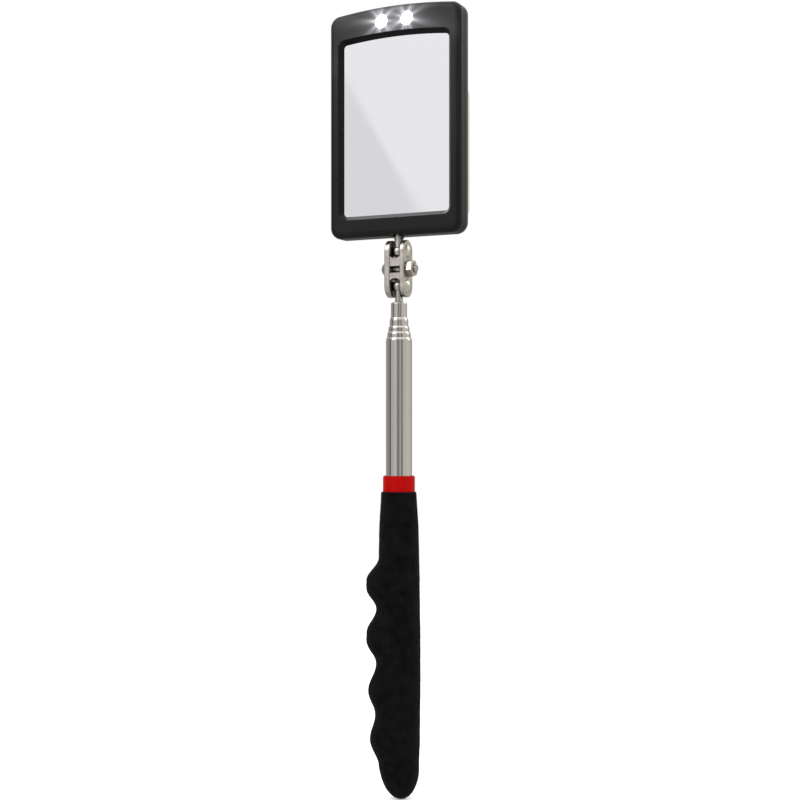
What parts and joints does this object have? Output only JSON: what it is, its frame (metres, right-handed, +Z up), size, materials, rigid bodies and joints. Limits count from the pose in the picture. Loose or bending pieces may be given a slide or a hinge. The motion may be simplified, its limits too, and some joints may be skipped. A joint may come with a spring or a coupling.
{
  "type": "telescoping inspection mirror",
  "caption": "Pocket inspection mirror: foam-gripped telescoping rod, double ball joint and a black framed mirror head with lamps.",
  "frame": {"origin": "lower tip of the foam grip, on the rod's axis", "axes": "+Z up the rod towards the mirror head, +X across the head's width towards the clamp nut, the mirror faces -Y"},
  "size_m": [0.053, 0.017, 0.29],
  "materials": {
    "grip_foam": "matte closed-cell foam",
    "collar_plastic": "glossy red vinyl",
    "black_nylon": "moulded nylon",
    "tube_steel": "drawn and polished stainless steel",
    "brass": "plain spring brass",
    "joint_nickel": "tumbled nickel plating on pressed steel",
    "bolt_nickel": "nickel-plated fasteners",
    "head_plastic": "satin black moulded ABS",
    "mirror_silver": "silvered glass",
    "pad_foam": "double-sided foam tape",
    "lamp_lens": "clear epoxy, lit",
    "board_green": "green solder mask",
    "cell_steel": "nickel-plated steel can",
    "door_plastic": "satin warm grey ABS",
    "screw_steel": "zinc-plated self-tapping screws",
    "knob_plastic": "black moulded ABS",
    "wire_red": "PVC insulation",
    "wire_black": "PVC insulation"
  },
  "bodies": {
    "handle": {"foam_grip": "grip_foam", "red_collar": "collar_plastic", "outer_tube": "tube_steel", "tube_end_plug": "black_nylon"},
    "rod_2": {"tube_2": "tube_steel", "friction_sleeve_2": "brass"},
    "rod_3": {"tube_3": "tube_steel", "friction_sleeve_3": "brass"},
    "rod_4": {"tube_4": "tube_steel", "friction_sleeve_4": "brass"},
    "rod_5": {"tube_5": "tube_steel", "friction_sleeve_5": "brass", "rod_end_plug": "brass"},
    "lower_stud": {"lower_ball_stud": "joint_nickel"},
    "joint_clamp": {"clamp_plate_left": "joint_nickel", "clamp_plate_right": "joint_nickel", "clamp_bolt": "bolt_nickel", "lock_washer": "bolt_nickel", "clamp_nut": "bolt_nickel"},
    "upper_stud": {"upper_ball_stud": "joint_nickel"},
    "head": {"front_bezel": "head_plastic", "rear_shell": "head_plastic", "mirror_glass": "mirror_silver", "mirror_pad": "pad_foam", "led_left": "lamp_lens", "led_right": "lamp_lens", "circuit_board": "board_green", "cell_lower": "cell_steel", "cell_upper": "cell_steel", "cell_contacts": "brass", "link_strip": "brass", "battery_door": "door_plastic", "door_screw": "screw_steel", "case_screws": "screw_steel", "stem_bush": "black_nylon", "switch_body": "black_nylon", "lead_wire_red": "wire_red", "lead_wire_black": "wire_black"},
    "switch_slider": {"switch_knob": "knob_plastic"}
  },
  "joints": [
    {"name": "draw_2", "type": "slide", "parent": "handle", "child": "rod_2", "axis": [0, 0, 1], "range_m": [0, 0.1471]},
    {"name": "draw_3", "type": "slide", "parent": "rod_2", "child": "rod_3", "axis": [0, 0, 1], "range_m": [0, 0.1453]},
    {"name": "draw_4", "type": "slide", "parent": "rod_3", "child": "rod_4", "axis": [0, 0, 1], "range_m": [0, 0.1434]},
    {"name": "draw_5", "type": "slide", "parent": "rod_4", "child": "rod_5", "axis": [0, 0, 1], "range_m": [0, 0.1425]},
    {"name": "rod_turn", "type": "hinge", "parent": "rod_5", "child": "lower_stud", "pos_m": [0, 0, 0.182], "axis": [0, 0, 1], "continuous": true},
    {"name": "lower_tilt", "type": "hinge", "parent": "lower_stud", "child": "joint_clamp", "pos_m": [0, 0, 0.188], "axis": [1, 0, 0], "range_deg": [-90, 90]},
    {"name": "upper_tilt", "type": "hinge", "parent": "joint_clamp", "child": "upper_stud", "pos_m": [0, 0, 0.2007], "axis": [-1, 0, 0], "range_deg": [-90, 90]},
    {"name": "head_turn", "type": "hinge", "parent": "upper_stud", "child": "head", "pos_m": [0, 0, 0.2061], "axis": [0, 0, 1], "continuous": true},
    {"name": "switch_slide", "type": "slide", "parent": "head", "child": "switch_slider", "axis": [1, 0, 0], "range_m": [0, 0.0025]}
  ]
}
